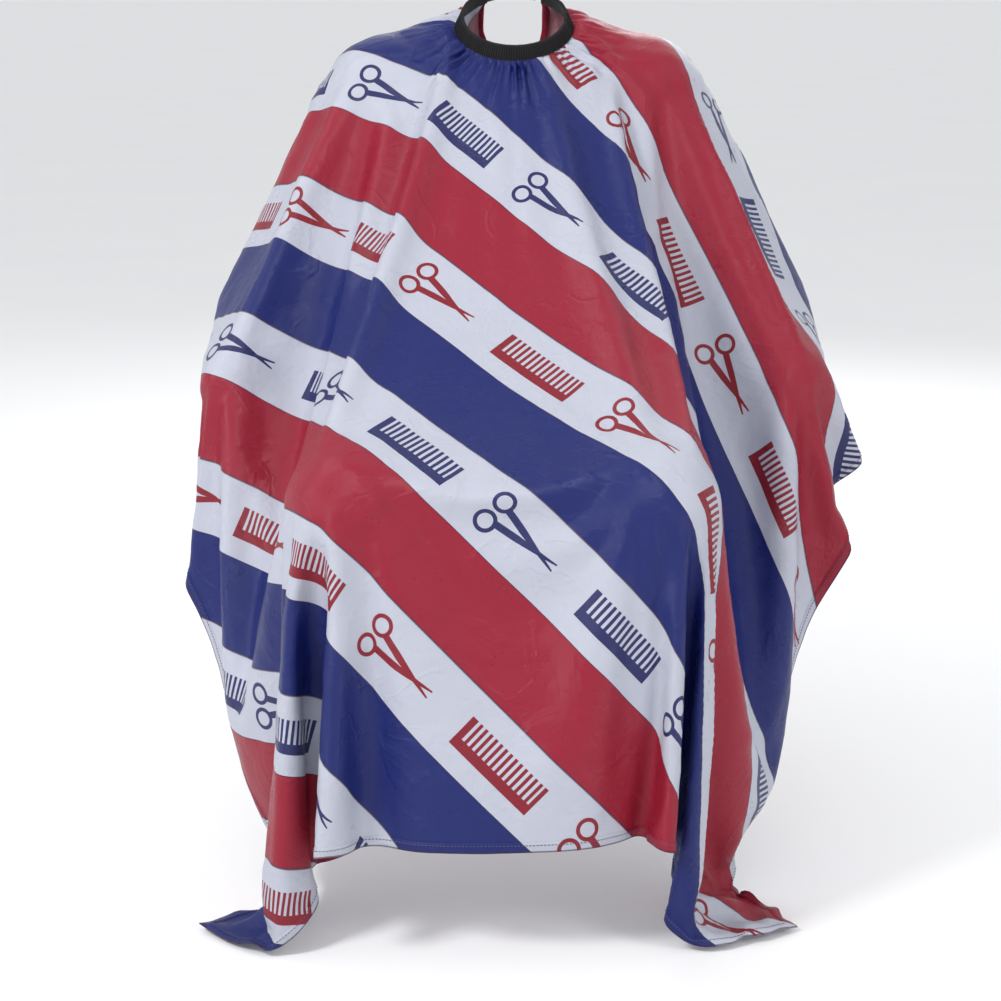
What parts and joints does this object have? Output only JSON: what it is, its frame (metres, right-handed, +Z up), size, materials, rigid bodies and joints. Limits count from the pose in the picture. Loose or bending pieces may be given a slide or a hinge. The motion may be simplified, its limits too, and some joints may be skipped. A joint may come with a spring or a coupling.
{
  "type": "barber cape",
  "caption": "Wide rectangular cloth cape with turned hems, gathered onto a snap-closed elastic neck band and draped as worn by someone seated.",
  "frame": {"origin": "centre of the neck band, on the neck's axis", "axes": "+Z up as worn, the front faces -Y and +X is the right as seen from the front; the band leans 32 degrees forward about X"},
  "size_m": [0.8824, 0.8458, 1.0636],
  "materials": {
    "cape_cloth": "thin satin polyester with diagonal blue, white and red stripes",
    "band_knit": "black ribbed knit",
    "elastic": "braided elastic",
    "thread": "spun polyester thread",
    "webbing": "black woven tape",
    "snap_metal": "nickel plated, satin"
  },
  "bodies": {
    "cape": {"cape_cloth": "cape_cloth", "front_hem": "cape_cloth", "left_hem": "cape_cloth", "right_hem": "cape_cloth", "back_hem_left": "cape_cloth", "back_hem_right": "cape_cloth", "opening_hem_left": "cape_cloth", "opening_hem_right": "cape_cloth", "neck_band": "band_knit", "neck_elastic": "elastic", "neck_seam_thread": "thread", "under_tab": "webbing", "tab_anchor": "webbing", "anchor_stitching": "thread", "snap_studs": "snap_metal", "snap_posts": "snap_metal"},
    "closing_tab": {"over_tab": "webbing", "snap_caps": "snap_metal", "snap_sockets": "snap_metal"}
  },
  "joints": [
    {"name": "closure_open", "type": "hinge", "parent": "cape", "child": "closing_tab", "pos_m": [0.0371, 0.0545, 0.03405], "axis": [0, 0.5299, -0.848], "range_deg": [0, 100]}
  ]
}
